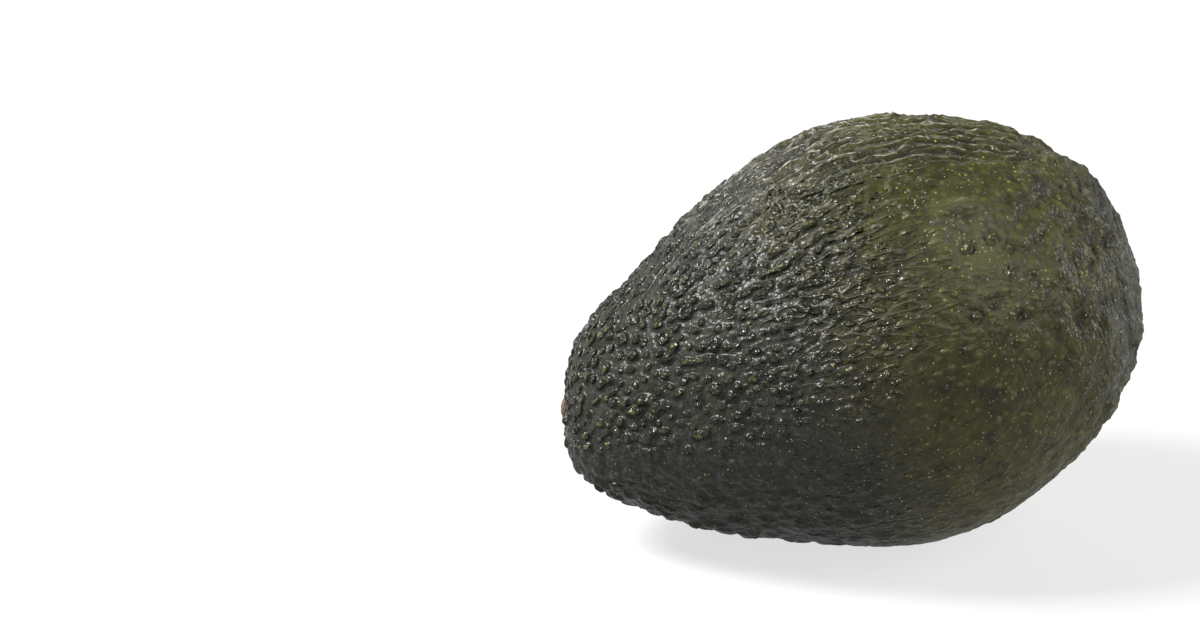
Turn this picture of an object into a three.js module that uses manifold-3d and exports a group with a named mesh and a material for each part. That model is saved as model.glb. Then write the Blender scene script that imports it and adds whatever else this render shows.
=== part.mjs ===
// A whole ripe avocado, lying on its side. Millimetres, +Z up.
// The origin is the middle of the small flat spot that the fruit rests on, straight under its weight.
// +X runs from the narrow stem end towards the broad blossom end.
import * as THREE from "three";
import { mergeVertices } from "three/addons/utils/BufferGeometryUtils.js";
import Module from "manifold-3d";

const wasm = await Module();
wasm.setup();

// The smooth pear shape under the pebbles. The three shape numbers change its girth along its length.
const LENGTH = 103.2;
const WIDTH = 72;
const TAPER = 0.22; // fuller towards the blossom end
const SLIM_ENDS = -0.22; // both ends drawn in
const LONG_NECK = -0.13; // the stem half drawn out
const TILT = THREE.MathUtils.degToRad(15); // the neck droops when the fruit lies at rest

// Broad swellings and hollows: place along the axis from -1, stem, to 1, blossom; degrees round it
// from +Y over the top; height and reach in millimetres.
const SWELLINGS = [
  { along: -0.99, around: 68, height: -1.8, reach: 7 },
  { along: -0.97, around: -112, height: 0.9, reach: 8 },
  { along: -0.8, around: 62, height: 0.7, reach: 8 },
  { along: -0.6, around: 68, height: -0.8, reach: 10 },
  { along: -0.3, around: -112, height: -0.6, reach: 13 },
  { along: -0.2, around: -10, height: 0.6, reach: 17 },
  { along: 0.1, around: 68, height: 0.6, reach: 16 },
  { along: 0.5, around: -35, height: -0.4, reach: 13 },
  { along: 0.53, around: 140, height: -0.5, reach: 9 },
  { along: 0.7, around: 68, height: 1.1, reach: 15 },
  { along: 0.93, around: 68, height: 0.9, reach: 8 },
  { along: 0.97, around: -112, height: -0.5, reach: 10 },
  { along: 0.99, around: 90, height: -0.7, reach: 10 },
];

// The basin at the stem end, and the blossom scar at the other.
const BASIN_DEPTH = 1.2;
const BASIN_REACH = 7.5;
const SCAR_DEPTH = 0.7;
const SCAR_REACH = 4;
const STEM_LEAN = THREE.MathUtils.degToRad(18); // the stalk grows a little to one side, towards +Y

// Pebbles: one at every corner of a geodesic net, with a hollow at the middle of each of its triangles.
const NET_FREQUENCY = 13;
const PEBBLE_HEIGHT = 0.85;
const HOLLOW_DEPTH = 0.25;
const BIG_PEBBLE_SHARE = 0.1;
const BIG_PEBBLE_GAIN = 1.6;
const SMOOTH_END_SHARE = 0.35; // height left on the smoother blossom end
const BARE_BASIN = 4.5; // no pebbles this close to the stalk
const WANDER = 0.2; // how far a corner strays, as a share of the net's spacing

// The flat spot is where a level plane takes this much off the underside.
const FLAT_DEPTH = 0.6;
const FLAT_REACH = 12; // pebbles fade out towards the flat spot

// The woody button that stays when the stalk breaks off, in its socket.
const BUTTON_ROOT_RADIUS = 2.6;
const BUTTON_RADIUS = 3.4;
const BUTTON_RISE = 1.5;
const BUTTON_FLARE = 0.6; // height of the cap's underside above the basin
const BUTTON_DISH = 0.45;
const SOCKET_DEPTH = 2.2;
const CLEARANCE = 0.3;
const BUTTON_LOBES = 5;
const LOBE_DEPTH = 0.05;
const ROUND_STEPS = 30;

const SKIN_COLOUR = 0x33352b;
const WOOD_COLOUR = 0x6b4a2c;
const SEED = 7;

// A repeatable stream of numbers from 0 to 1.
function randomStream(seed) {
  let state = seed >>> 0;
  return () => {
    state = (state + 0x6d2b79f5) >>> 0;
    let mixed = Math.imul(state ^ (state >>> 15), 1 | state);
    mixed = (mixed + Math.imul(mixed ^ (mixed >>> 7), 61 | mixed)) ^ mixed;
    return ((mixed ^ (mixed >>> 14)) >>> 0) / 2 ** 32;
  };
}

// Girth at a place along the axis, and how fast it changes there.
function rawGirth(along) {
  return 1 + along * (TAPER + along * (SLIM_ENDS + along * LONG_NECK));
}

function girthSlope(along) {
  return TAPER + along * (2 * SLIM_ENDS + along * 3 * LONG_NECK);
}

// The widest that the raw shape gets, so that WIDTH is the true width.
function widestGirth() {
  const steps = 400;
  let widest = 0;
  for (let i = 0; i <= steps; i++) {
    const along = (2 * i) / steps - 1;
    widest = Math.max(widest, rawGirth(along) * Math.sqrt(1 - along * along));
  }
  return widest;
}

const HALF_LENGTH = LENGTH / 2;
const HALF_WIDTH = WIDTH / 2 / widestGirth();

// The smooth pear's point for a direction on the unit sphere, whose x is the place along the axis.
function pearPoint(direction) {
  const reach = HALF_WIDTH * rawGirth(direction.x);
  return new THREE.Vector3(
    HALF_LENGTH * direction.x,
    reach * direction.y,
    reach * direction.z,
  );
}

// The outward normal there.
function pearNormal(direction) {
  const across = Math.hypot(direction.y, direction.z);
  const radiusRate =
    HALF_WIDTH *
    (girthSlope(direction.x) * across * across -
      rawGirth(direction.x) * direction.x);
  const outward = HALF_LENGTH;
  return new THREE.Vector3(
    -radiusRate,
    outward * direction.y,
    outward * direction.z,
  ).normalize();
}

// A direction on the unit sphere from a place along the axis and degrees round it.
function directionAt(along, around) {
  const across = Math.sqrt(1 - along * along);
  const angle = THREE.MathUtils.degToRad(around);
  return new THREE.Vector3(
    along,
    across * Math.cos(angle),
    across * Math.sin(angle),
  );
}

const stemDirection = new THREE.Vector3(
  -Math.cos(STEM_LEAN),
  Math.sin(STEM_LEAN),
  0,
);
const stemPlace = pearPoint(stemDirection);
const stemNormal = pearNormal(stemDirection);
const blossomPlace = pearPoint(new THREE.Vector3(1, 0, 0));
const swellingPlaces = SWELLINGS.map((swelling) => ({
  ...swelling,
  place: pearPoint(directionAt(swelling.along, swelling.around)),
}));

// A smooth hill, 1 at its middle and falling to 0 over its reach.
function hill(distance, reach) {
  return Math.exp(-((distance / reach) ** 2));
}

// How far the broad form stands out from the smooth pear.
function broadRelief(point) {
  let height = 0;
  for (const { place, height: peak, reach } of swellingPlaces)
    height += peak * hill(point.distanceTo(place), reach);
  height -= BASIN_DEPTH * hill(point.distanceTo(stemPlace), BASIN_REACH);
  height -= SCAR_DEPTH * hill(point.distanceTo(blossomPlace), SCAR_REACH);
  return height;
}

// The point of the fruit in its own frame, with a pebble's height added.
function skinPoint(direction, pebble) {
  const point = pearPoint(direction);
  return point.addScaledVector(
    pearNormal(direction),
    broadRelief(point) + pebble,
  );
}

// Down, in the fruit's own frame, when it lies at its tilt.
const down = new THREE.Vector3(-Math.sin(TILT), 0, -Math.cos(TILT));

// The direction whose smooth point lies lowest.
function lowestDirection() {
  const steps = 600;
  let best = null;
  let lowest = -Infinity;
  for (let i = 0; i <= steps; i++) {
    const direction = directionAt((2 * i) / steps - 1, -90);
    const depth = pearPoint(direction).dot(down);
    if (depth > lowest) {
      lowest = depth;
      best = direction;
    }
  }
  return best;
}

const restPlace = skinPoint(lowestDirection(), 0);
const restDepth = restPlace.dot(down) - FLAT_DEPTH;

// The share of a pebble's height that a place keeps.
function pebbleCover(direction, point) {
  const towardsBlossom = THREE.MathUtils.smoothstep(direction.x, -0.1, 0.9);
  const lengthwise = 1 - (1 - SMOOTH_END_SHARE) * towardsBlossom;
  const fromStalk = THREE.MathUtils.smoothstep(
    point.distanceTo(stemPlace),
    BARE_BASIN,
    BARE_BASIN * 1.6,
  );
  const fromFlat = THREE.MathUtils.smoothstep(
    point.distanceTo(restPlace),
    FLAT_REACH,
    FLAT_REACH * 1.6,
  );
  return lengthwise * fromStalk * fromFlat;
}

// A closed solid from a three.js geometry, with its shared vertices merged.
function solidOf(geometry) {
  const bare = geometry.clone();
  bare.deleteAttribute("normal");
  bare.deleteAttribute("uv");
  const merged = mergeVertices(bare, 1e-4);
  return new wasm.Manifold(
    new wasm.Mesh({
      numProp: 3,
      vertProperties: merged.attributes.position.array,
      triVerts: new Uint32Array(merged.index.array),
    }),
  );
}

function geometryOf(solid) {
  const { vertProperties, triVerts } = solid.getMesh();
  const geometry = new THREE.BufferGeometry();
  geometry.setAttribute(
    "position",
    new THREE.BufferAttribute(vertProperties, 3),
  );
  geometry.setIndex(new THREE.BufferAttribute(triVerts, 1));
  geometry.computeVertexNormals();
  return geometry;
}

// The geodesic net, then a new corner at the middle of each triangle and every old edge turned, so
// that six hollows ring each old corner.
function pebbleNet() {
  const ball = new THREE.IcosahedronGeometry(1, NET_FREQUENCY - 1);
  ball.deleteAttribute("normal");
  ball.deleteAttribute("uv");
  const net = mergeVertices(ball, 1e-4);
  const position = net.attributes.position;
  const corners = [];
  for (let i = 0; i < position.count; i++)
    corners.push(new THREE.Vector3().fromBufferAttribute(position, i));
  const tips = corners.length;
  const middleOfEdge = new Map();
  const triangles = [];
  for (let i = 0; i < net.index.count; i += 3) {
    const ends = [0, 1, 2].map((k) => net.index.getX(i + k));
    const middle = new THREE.Vector3();
    for (const end of ends) middle.add(corners[end]);
    const here = corners.push(middle.normalize()) - 1;
    for (let k = 0; k < 3; k++)
      middleOfEdge.set(`${ends[k]}_${ends[(k + 1) % 3]}`, here);
  }
  for (const [edge, here] of middleOfEdge) {
    const [from, to] = edge.split("_").map(Number);
    triangles.push(from, middleOfEdge.get(`${to}_${from}`), here);
  }
  return { corners, tips, triangles };
}

// The pebbled body of the fruit, closed, in its own frame.
function pebbledBody() {
  const random = randomStream(SEED);
  const { corners, tips, triangles } = pebbleNet();
  const spacing = Math.sqrt((4 * Math.PI) / corners.length);
  const positions = [];
  corners.forEach((corner, i) => {
    const stray = new THREE.Vector3(random(), random(), random());
    stray.subScalar(0.5).multiplyScalar(2 * WANDER * spacing);
    const direction = corner.clone().add(stray).normalize();
    const cover = pebbleCover(direction, pearPoint(direction));
    const size = 0.6 + 0.8 * random();
    const gain = random() < BIG_PEBBLE_SHARE ? BIG_PEBBLE_GAIN : 1;
    const pebble =
      i < tips ? PEBBLE_HEIGHT * size * gain : -HOLLOW_DEPTH * size;
    positions.push(...skinPoint(direction, cover * pebble).toArray());
  });
  return new wasm.Manifold(
    new wasm.Mesh({
      numProp: 3,
      vertProperties: new Float32Array(positions),
      triVerts: new Uint32Array(triangles),
    }),
  );
}

// The turn and place that stand a shape built up +Y on the floor of the stem basin.
const basinFloor = stemPlace
  .clone()
  .addScaledVector(stemNormal, broadRelief(stemPlace));
const ontoBasin = new THREE.Matrix4()
  .makeRotationFromQuaternion(
    new THREE.Quaternion().setFromUnitVectors(
      new THREE.Vector3(0, 1, 0),
      stemNormal,
    ),
  )
  .setPosition(basinFloor);

// The round socket that the button is rooted in.
function stemSocket() {
  const mouth = 3; // stands this far out of the skin, so that the cut is clean
  const geometry = new THREE.CylinderGeometry(
    BUTTON_ROOT_RADIUS + CLEARANCE,
    BUTTON_ROOT_RADIUS + CLEARANCE,
    SOCKET_DEPTH + mouth,
    ROUND_STEPS,
  );
  geometry.translate(0, (mouth - SOCKET_DEPTH) / 2, 0);
  return solidOf(geometry.applyMatrix4(ontoBasin));
}

// Everything below the level plane that the fruit rests on.
function groundSlab() {
  const thickness = 20;
  const geometry = new THREE.BoxGeometry(
    2 * LENGTH,
    2 * WIDTH,
    thickness,
  ).applyMatrix4(new THREE.Matrix4().makeRotationY(TILT));
  const middle = down.clone().multiplyScalar(restDepth + thickness / 2);
  geometry.translate(...middle.toArray());
  return solidOf(geometry);
}

// The button: a root in the socket, a flared cap, and a dished top where the stalk broke away.
function buttonGeometry() {
  const top = BUTTON_RISE;
  const profile = [
    [0, CLEARANCE - SOCKET_DEPTH],
    [BUTTON_ROOT_RADIUS, CLEARANCE - SOCKET_DEPTH],
    [BUTTON_ROOT_RADIUS, BUTTON_FLARE * 0.7],
    [BUTTON_RADIUS * 0.96, BUTTON_FLARE],
    [BUTTON_RADIUS, (BUTTON_FLARE + top) / 2],
    [BUTTON_RADIUS * 0.93, top * 0.94],
    [BUTTON_RADIUS * 0.78, top],
    [BUTTON_RADIUS * 0.55, top - BUTTON_DISH * 0.4],
    [BUTTON_RADIUS * 0.3, top - BUTTON_DISH],
    [0, top - BUTTON_DISH * 0.8],
  ].map(([radius, height]) => new THREE.Vector2(radius, height));
  const geometry = new THREE.LatheGeometry(profile, ROUND_STEPS);
  const position = geometry.attributes.position;
  for (let i = 0; i < position.count; i++) {
    const x = position.getX(i);
    const z = position.getZ(i);
    const y = position.getY(i);
    const above = THREE.MathUtils.smoothstep(y, 0, top);
    const lobe = Math.cos(BUTTON_LOBES * Math.atan2(z, x));
    const scale = 1 + LOBE_DEPTH * above * lobe;
    position.setXYZ(i, x * scale, y, z * scale);
  }
  return geometryOf(solidOf(geometry.applyMatrix4(ontoBasin)));
}

// The middle of a closed geometry's volume.
function centreOfVolume(geometry) {
  const position = geometry.attributes.position;
  const index = geometry.index;
  const centre = new THREE.Vector3();
  const [a, b, c] = [0, 0, 0].map(() => new THREE.Vector3());
  let total = 0;
  for (let i = 0; i < index.count; i += 3) {
    a.fromBufferAttribute(position, index.getX(i));
    b.fromBufferAttribute(position, index.getX(i + 1));
    c.fromBufferAttribute(position, index.getX(i + 2));
    const volume = a.dot(b.clone().cross(c)) / 6;
    total += volume;
    centre.addScaledVector(a.clone().add(b).add(c), volume / 4);
  }
  return centre.divideScalar(total);
}

function meshOf(name, geometry, colour, roughness) {
  const material = new THREE.MeshStandardMaterial({
    color: colour,
    roughness,
    metalness: 0,
  });
  const mesh = new THREE.Mesh(geometry, material);
  mesh.name = name;
  return mesh;
}

const bodySolid = pebbledBody().subtract(stemSocket()).subtract(groundSlab());
const bodyGeometry = geometryOf(bodySolid);

const avocado = new THREE.Group();
avocado.add(meshOf("fruit", bodyGeometry, SKIN_COLOUR, 0.45));
avocado.add(meshOf("stem_button", buttonGeometry(), WOOD_COLOUR, 0.85));

// Lay the fruit at its tilt, with its weight over the origin and the flat spot on the ground.
avocado.rotation.y = -TILT;
const weight = centreOfVolume(bodyGeometry).applyEuler(avocado.rotation);
avocado.position.set(-weight.x, -weight.y, restDepth);

export default avocado;
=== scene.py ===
import itertools
import math

import bpy
import numpy as np
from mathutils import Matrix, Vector
from mathutils.kdtree import KDTree


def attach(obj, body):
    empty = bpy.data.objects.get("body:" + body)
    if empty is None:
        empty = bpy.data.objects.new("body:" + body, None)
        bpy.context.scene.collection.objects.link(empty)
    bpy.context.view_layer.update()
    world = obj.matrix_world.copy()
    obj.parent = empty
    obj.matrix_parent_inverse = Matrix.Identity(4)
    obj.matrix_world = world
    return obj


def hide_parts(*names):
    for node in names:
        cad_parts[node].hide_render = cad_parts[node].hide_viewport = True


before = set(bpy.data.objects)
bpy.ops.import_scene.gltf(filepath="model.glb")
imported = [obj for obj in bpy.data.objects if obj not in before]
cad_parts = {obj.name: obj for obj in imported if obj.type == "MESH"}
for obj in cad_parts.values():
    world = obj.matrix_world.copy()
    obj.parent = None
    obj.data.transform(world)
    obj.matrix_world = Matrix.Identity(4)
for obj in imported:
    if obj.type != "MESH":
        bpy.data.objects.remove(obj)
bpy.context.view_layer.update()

MM = 0.001
TINY = 1e-6

# The smooth pear under the pebbles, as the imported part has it, in millimetres.
LENGTH = 103.2
WIDTH = 72.0
TAPER = 0.22
SLIM_ENDS = -0.22
LONG_NECK = -0.13
TILT = math.radians(15)
MIDDLE = np.array([-3.26, -0.11, 33.84])  # the middle of the long axis, in the part's frame

# Broad swellings, and hollows where the height is negative: place along the axis, degrees round it from +Y
# over the top, height, reach.
SWELLINGS = (
    (-0.99, 68, -1.8, 7),
    (-0.97, -112, 0.9, 8),
    (-0.8, 62, 0.7, 8),
    (-0.6, 68, -0.8, 10),
    (-0.3, -112, -0.6, 13),
    (-0.2, -10, 0.6, 17),
    (0.1, 68, 0.6, 16),
    (0.5, -35, -0.4, 13),
    (0.53, 140, -0.5, 9),
    (0.7, 68, 1.1, 15),
    (0.93, 68, 0.9, 8),
    (0.97, -112, -0.5, 10),
    (0.99, 90, -0.7, 10),
)

# The basin round the stem, the scar of the blossom end, the stem's lean and the flat spot.
BASIN_DEPTH = 1.2
BASIN_REACH = 7.5
SCAR_DEPTH = 0.7
SCAR_REACH = 4.0
STEM_LEAN = math.radians(18)
FLAT_REACH = 12.0

# The mesh: squares along each edge of a cube blown up to a ball, and how far they crowd to the neck.
SQUARES = 127
CROWDING = -0.3

# How warts are scattered: their spacing in millimetres at places along the axis, and how much it varies.
WART_TRIES = 30000
SPACING_PLACES = (-0.6, -0.25, 0.1, 0.7)
WART_SPACINGS = (2.0, 1.7, 1.7, 4.4)
SPACING_RANGE = (0.75, 1.3)
CLEAR_OF_MARKS = 1.9

# The usual wart: its radius in millimetres at places along the axis, and its height beside its radius. Then
# the ranges drawn for its size, its length beside its width, its extra length near the ridges, its height.
RADIUS_PLACES = (-0.6, -0.2)
WART_RADII = (0.92, 0.66)
WART_HEIGHT = 0.77
SIZE_RANGE = (0.6, 1.15)
LENGTH_RANGE = (1.1, 1.7)
RIDGED_RANGE = (0.2, 1.6)
HEIGHT_RANGE = (0.5, 1.1)
WART_TURN = 0.3  # how far it turns from the meridian, in radians
WART_MOAT = 0.25  # the depth of the moat round it, beside its height

# The section of a wart, in shares of its radius: where its dome ends and how it falls to that edge, where
# the ring of a ringed wart stands, and where the moat lies.
DOME_EDGE = 1.2
DOME_FALL = 2.2
DOME_ROUNDING = 1.5
RING_PLACE = 0.72
RING_REACH = 0.27
RING_KNOB = 0.5  # the height of the knob inside the ring, beside the ring's
KNOB_REACH = 0.3
MOAT_PLACE = 1.25
MOAT_REACH = 0.28
WART_REACH = 1.6  # nothing of a wart is farther out than this

# Ringed warts: their share of all, and how much wider and longer they are.
RINGED_SHARE = 0.05
RINGED_SIZE = 1.35
RINGED_LENGTH = 1.1

# The places of the warts in the range of tints from dark to pale, for those that stand out.
WELT_TINT = 0.85
POCK_TINT = 0.9

# Ringed warts that stand out on the neck: place along the axis, degrees round it, radius, height.
RINGED_WARTS = (
    (-0.81, 97, 1.3, 0.7),
    (-0.72, 118, 1.2, 0.7),
    (-0.60, 130, 1.2, 0.7),
    (-0.51, 126, 1.4, 0.7),
    (-0.46, 142, 1.1, 0.6),
    (-0.18, 114, 1.1, 0.6),
    (-0.14, 109, 1.1, 0.6),
    (-0.13, 103, 1.3, 0.6),
)

# Pocks on the broad end, each a small boss in a deep pit: place along, degrees round, radius, height.
POCK_LENGTH = 1.2  # the boss's length beside its width,
POCK_HEIGHT = 0.8  # its height beside the one given,
POCK_MOAT = 1.3  # the depth of its pit beside that height,
POCK_PRESENCE = 0.55  # and how strongly a wart's colours show on it
POCKS = (
    (0.39, 139, 0.85, 0.5),
    (0.48, 137, 0.8, 0.5),
    (0.49, 149, 0.75, 0.45),
    (0.56, 154, 0.7, 0.3),
    (0.34, 158, 0.8, 0.45),
    (0.49, 162, 0.6, 0.3),
    (0.59, 164, 0.7, 0.35),
    (0.41, 156, 0.8, 0.3),
    (0.62, 140, 0.7, 0.35),
    (0.52, 141, 0.8, 0.35),
)

# Welts that stand out: place along, degrees round, degrees turned from the meridian, half length, half width,
# height.
WELTS = (
    (-0.87, 214, 0, 1.6, 0.9, 0.5),
    (-0.79, 220, 0, 1.9, 0.8, 0.5),
    (-0.73, 219, 0, 2.3, 0.8, 0.5),
    (-0.75, 156, 0, 2.0, 0.9, 0.9),
    (-0.52, 145, 0, 2.9, 0.7, 0.6),
    (-0.20, 128, 0, 3.6, 0.9, 0.8),
    (-0.18, 123, 5, 1.9, 0.6, 0.8),
    (-0.14, 127, 0, 1.7, 0.6, 0.8),
    (-0.06, 120, 0, 1.9, 0.7, 0.9),
    (0.03, 114, -42, 3.0, 0.5, 0.4),
    (0.15, 118, 40, 1.6, 0.5, 0.5),
    (0.0, 124, 5, 2.9, 0.6, 0.6),
)

# The shallow dish on the broad end: place along, degrees round, depth, reach, height of its rim.
DISH = (0.41, 136, 0.9, 4.6, 0.8)
RIM_PLACE = 1.25  # how far out the rim is, beside the dish's reach
RIM_WIDTH = 0.28

# Where the skin is a little fuller than the smooth form: place along, degrees round, height, reach.
FULLER_PLACES = (
    (-0.78, -112, 0.9, 15),
    (0.0, -112, 0.35, 20),
    (0.8, -112, 0.35, 14),
)
FULLER_SHOULDER = 0.75  # the same, all round the broad end

# Layers of smooth noise on the skin: height and width of one bump in millimetres, seed.
LOW_LUMPS = ((0.11, 9.0, 41), (0.08, 4.0, 42))
UNEVEN_END = ((0.18, 5.0, 53), (0.12, 2.6, 54))
PEBBLING = ((0.09, 1.7, 44), (0.06, 1.1, 45))

# A gentle shift of everything finer, so that nothing is quite round or straight: how far, width, seeds.
BEND = 0.35
BEND_WIDTH = 3.0
BEND_SEEDS = (31, 32, 33)

# The wrinkles. The long ones run along the top; RIDGES_ROUND of them would go right round the fruit. A width
# of three numbers is along the meridian, then across it, in millimetres.
RIDGES_ROUND = 104
RIDGES_MIDDLE = math.radians(72)  # the middle line of their zone, turned from +Y over the top
WRINKLE_WARP = ((4.0, (16.0, 6.0, 6.0), 43), (1.6, (5.0, 2.5, 2.5), 55))  # radians of wander, width, seed
LONG_HEIGHT = 0.7
LONG_BREAKS = (5.0, 2.2, 2.2)  # the size of the gaps in them
SHORT_HEIGHT = 0.3
SHORT_WIDTH = (5.5, 1.5, 1.5)
END_HEIGHT = 0.4  # the wrinkles round the blossom end
END_WIDTH = (1.6, 7.0, 7.0)

# Where relief starts: millimetres from the middle of the stem, and from that of the flat spot.
STEM_EDGE = (3.6, 6.5)
STEM_EDGE_OF_WARTS = (4.5, 7.5)
FLAT_EDGE = (0.6 * FLAT_REACH, 1.7 * FLAT_REACH)
FLAT_EDGE_OF_WARTS = (0.8 * FLAT_REACH, 1.7 * FLAT_REACH)

# Flat scales all over, creased lumps and small bosses on the broad end.
SCALE_HEIGHT = 0.4
SCALE_WIDTH = (4.6, 2.9, 2.9)
CREASED_WIDTH = 7.0
BOSS_HEIGHT = 0.3
BOSS_SPACING = 2.3

# The camera, as the photograph was taken: how high it looks down, how far it is turned, how far away.
CAMERA_ELEVATION = math.radians(22)
CAMERA_TURN = math.radians(8)
CAMERA_DISTANCE = 600.0
PIXELS_PER_MM = 5.9
IMAGE_WIDTH = 1200
SENSOR_WIDTH = 36.0
AIM_LEFT = 42.46  # the camera looks this far to the left of the fruit's middle,
AIM_ABOVE = 4.03  # and this far above it


def smoothstep(value, low, high):
    share = np.clip((value - low) / (high - low), 0, 1)
    return share * share * (3 - 2 * share)


def hill(distance, reach):
    return np.exp(-((distance / reach) ** 2))


# The smooth form, in the fruit's own frame.

def raw_girth(along):
    return 1 + along * (TAPER + along * (SLIM_ENDS + along * LONG_NECK))


def girth_slope(along):
    return TAPER + along * (2 * SLIM_ENDS + along * 3 * LONG_NECK)


def half_width():
    along = np.linspace(-1, 1, num=401)
    return WIDTH / 2 / np.max(raw_girth(along) * np.sqrt(1 - along**2))


HALF_LENGTH = LENGTH / 2
HALF_WIDTH = half_width()


def pear_points(directions):
    reach = HALF_WIDTH * raw_girth(directions[:, 0])
    scale = np.stack([np.full_like(reach, HALF_LENGTH), reach, reach], axis=1)
    return directions * scale


def pear_normals(directions):
    along = directions[:, 0]
    across_squared = directions[:, 1] ** 2 + directions[:, 2] ** 2
    radius_rate = HALF_WIDTH * (girth_slope(along) * across_squared - raw_girth(along) * along)
    sideways = HALF_LENGTH * directions[:, 1:]
    normals = np.concatenate([-radius_rate[:, None], sideways], axis=1)
    return normals / np.linalg.norm(normals, axis=1, keepdims=True)


def direction_at(along, around):
    across = math.sqrt(1 - along * along)
    angle = math.radians(around)
    return np.array([[along, across * math.cos(angle), across * math.sin(angle)]])


STEM_DIRECTION = np.array([[-math.cos(STEM_LEAN), math.sin(STEM_LEAN), 0.0]])
STEM_PLACE = pear_points(STEM_DIRECTION)[0]
STEM_NORMAL = pear_normals(STEM_DIRECTION)[0]
BLOSSOM_PLACE = np.array([HALF_LENGTH, 0.0, 0.0])
DOWN = np.array([-math.sin(TILT), 0.0, -math.cos(TILT)])


def rest_place():
    along = np.linspace(-1, 1, num=601)
    across = np.sqrt(1 - along**2)
    points = pear_points(np.stack([along, 0 * along, -across], axis=1))
    return points[np.argmax(points @ DOWN)]


REST_PLACE = rest_place()


def distance_from(points, place):
    return np.linalg.norm(points - place, axis=1)


def swell(points, places):
    height = np.zeros(len(points))
    for along, around, peak, reach in places:
        place = pear_points(direction_at(along, around))[0]
        height += peak * hill(distance_from(points, place), reach)
    return height


def broad_relief(points):
    height = swell(points, SWELLINGS)
    height -= BASIN_DEPTH * hill(distance_from(points, STEM_PLACE), BASIN_REACH)
    height -= SCAR_DEPTH * hill(distance_from(points, BLOSSOM_PLACE), SCAR_REACH)
    return height


def to_part_frame(points):
    turned = points.copy()
    turned[:, 0] = points[:, 0] * math.cos(TILT) - points[:, 2] * math.sin(TILT)
    turned[:, 2] = points[:, 0] * math.sin(TILT) + points[:, 2] * math.cos(TILT)
    return turned + MIDDLE


# The skin's mesh.

def cube_ball(squares):
    """Directions and square faces of a cube blown up to a ball."""
    steps = np.tan(np.linspace(-math.pi / 4, math.pi / 4, squares + 1))
    first, second = np.meshgrid(steps, steps, indexing="ij")
    ones = np.ones_like(first)
    corner = np.arange((squares + 1) ** 2).reshape(squares + 1, squares + 1)
    face = np.stack([corner[:-1, :-1], corner[1:, :-1], corner[1:, 1:], corner[:-1, 1:]], axis=-1)
    face = face.reshape(-1, 4)
    points = []
    faces = []
    for axis in range(3):
        for side in (1, -1):
            sheet = np.empty((corner.size, 3))
            sheet[:, axis] = side * ones.ravel()
            sheet[:, (axis + 1) % 3] = first.ravel()
            sheet[:, (axis + 2) % 3] = second.ravel()
            faces.append((face if side == 1 else face[:, ::-1]) + corner.size * len(points))
            points.append(sheet)
    points = np.concatenate(points)
    points /= np.linalg.norm(points, axis=1, keepdims=True)
    _, keep, index = np.unique(np.round(points, 7), axis=0, return_index=True, return_inverse=True)
    return points[keep], index.reshape(-1)[np.concatenate(faces)]


def crowd_to_neck(directions):
    """Slides directions towards the stem end without stretching any square."""
    along = (directions[:, 0] + CROWDING) / (1 + CROWDING * directions[:, 0])
    across = np.sqrt(1 - CROWDING**2) / (1 + CROWDING * directions[:, 0])
    return np.stack([along, directions[:, 1] * across, directions[:, 2] * across], axis=1)


# Smooth seeded noise, from random tables that repeat after TABLE cells.

TABLE = 256
NOISE_GAIN = 1.6


def table_row(order, cell):
    """The shuffled table row of each cell, which has whole-numbered places."""
    x, y, z = (cell % TABLE).T
    return order[(order[(order[x] + y) % TABLE] + z) % TABLE]


class Noise:
    """Gradient noise from about -1 to 1, on points in units of one bump's width."""

    def __init__(self, seed):
        draw = np.random.default_rng(seed)
        self.order = draw.permutation(TABLE)
        slopes = draw.normal(size=(TABLE, 3))
        self.slopes = slopes / np.linalg.norm(slopes, axis=1, keepdims=True)

    def __call__(self, points):
        cell = np.floor(points).astype(int)
        inside = points - cell
        fade = inside**3 * (inside * (inside * 6 - 15) + 10)
        total = np.zeros(len(points))
        for corner in itertools.product((0, 1), repeat=3):
            slope = self.slopes[table_row(self.order, cell + corner)]
            weight = np.prod(np.where(corner, fade, 1 - fade), axis=1)
            total += weight * np.sum(slope * (inside - corner), axis=1)
        return NOISE_GAIN * total


class Cells:
    """Distances to the two nearest seeds of a jittered grid, and the nearest seed's own number."""

    def __init__(self, seed):
        draw = np.random.default_rng(seed)
        self.order = draw.permutation(TABLE)
        self.jitter = draw.random((TABLE, 3))
        self.number = draw.random(TABLE)

    def __call__(self, points):
        cell = np.floor(points).astype(int)
        nearest = np.full(len(points), np.inf)
        second = np.full(len(points), np.inf)
        number = np.zeros(len(points))
        for step in itertools.product((-1, 0, 1), repeat=3):
            pick = table_row(self.order, cell + step)
            distance = distance_from(cell + step + self.jitter[pick], points)
            closer = distance < nearest
            second = np.where(closer, nearest, np.minimum(second, distance))
            number = np.where(closer, self.number[pick], number)
            nearest = np.where(closer, distance, nearest)
        return nearest, second, number


def meridian_coordinates(directions):
    """Millimetres along each meridian from the stem, and a place round a drum that thins at both ends."""
    along = np.linspace(-1, 1, num=801)
    widths = HALF_WIDTH * raw_girth(along) * np.sqrt(1 - along**2)
    profile = np.stack([HALF_LENGTH * along, widths], axis=1)
    steps = np.linalg.norm(np.diff(profile, axis=0), axis=1)
    lengths = np.concatenate([[0], np.cumsum(steps)])
    down_meridian = np.interp(directions[:, 0], along, lengths)
    radius = HALF_WIDTH * raw_girth(directions[:, 0])
    return np.stack([down_meridian, radius * directions[:, 1], radius * directions[:, 2]], axis=1)


def layered_noise(points, layers):
    return sum(height * Noise(seed)(points / width) for height, width, seed in layers)


# Warts.

def nearness_round(directions, around):
    """The cosine of the turn about the long axis between each direction and the line at around."""
    across = np.maximum(np.hypot(directions[:, 1], directions[:, 2]), TINY)
    return (directions[:, 1] * math.cos(around) + directions[:, 2] * math.sin(around)) / across


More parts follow.
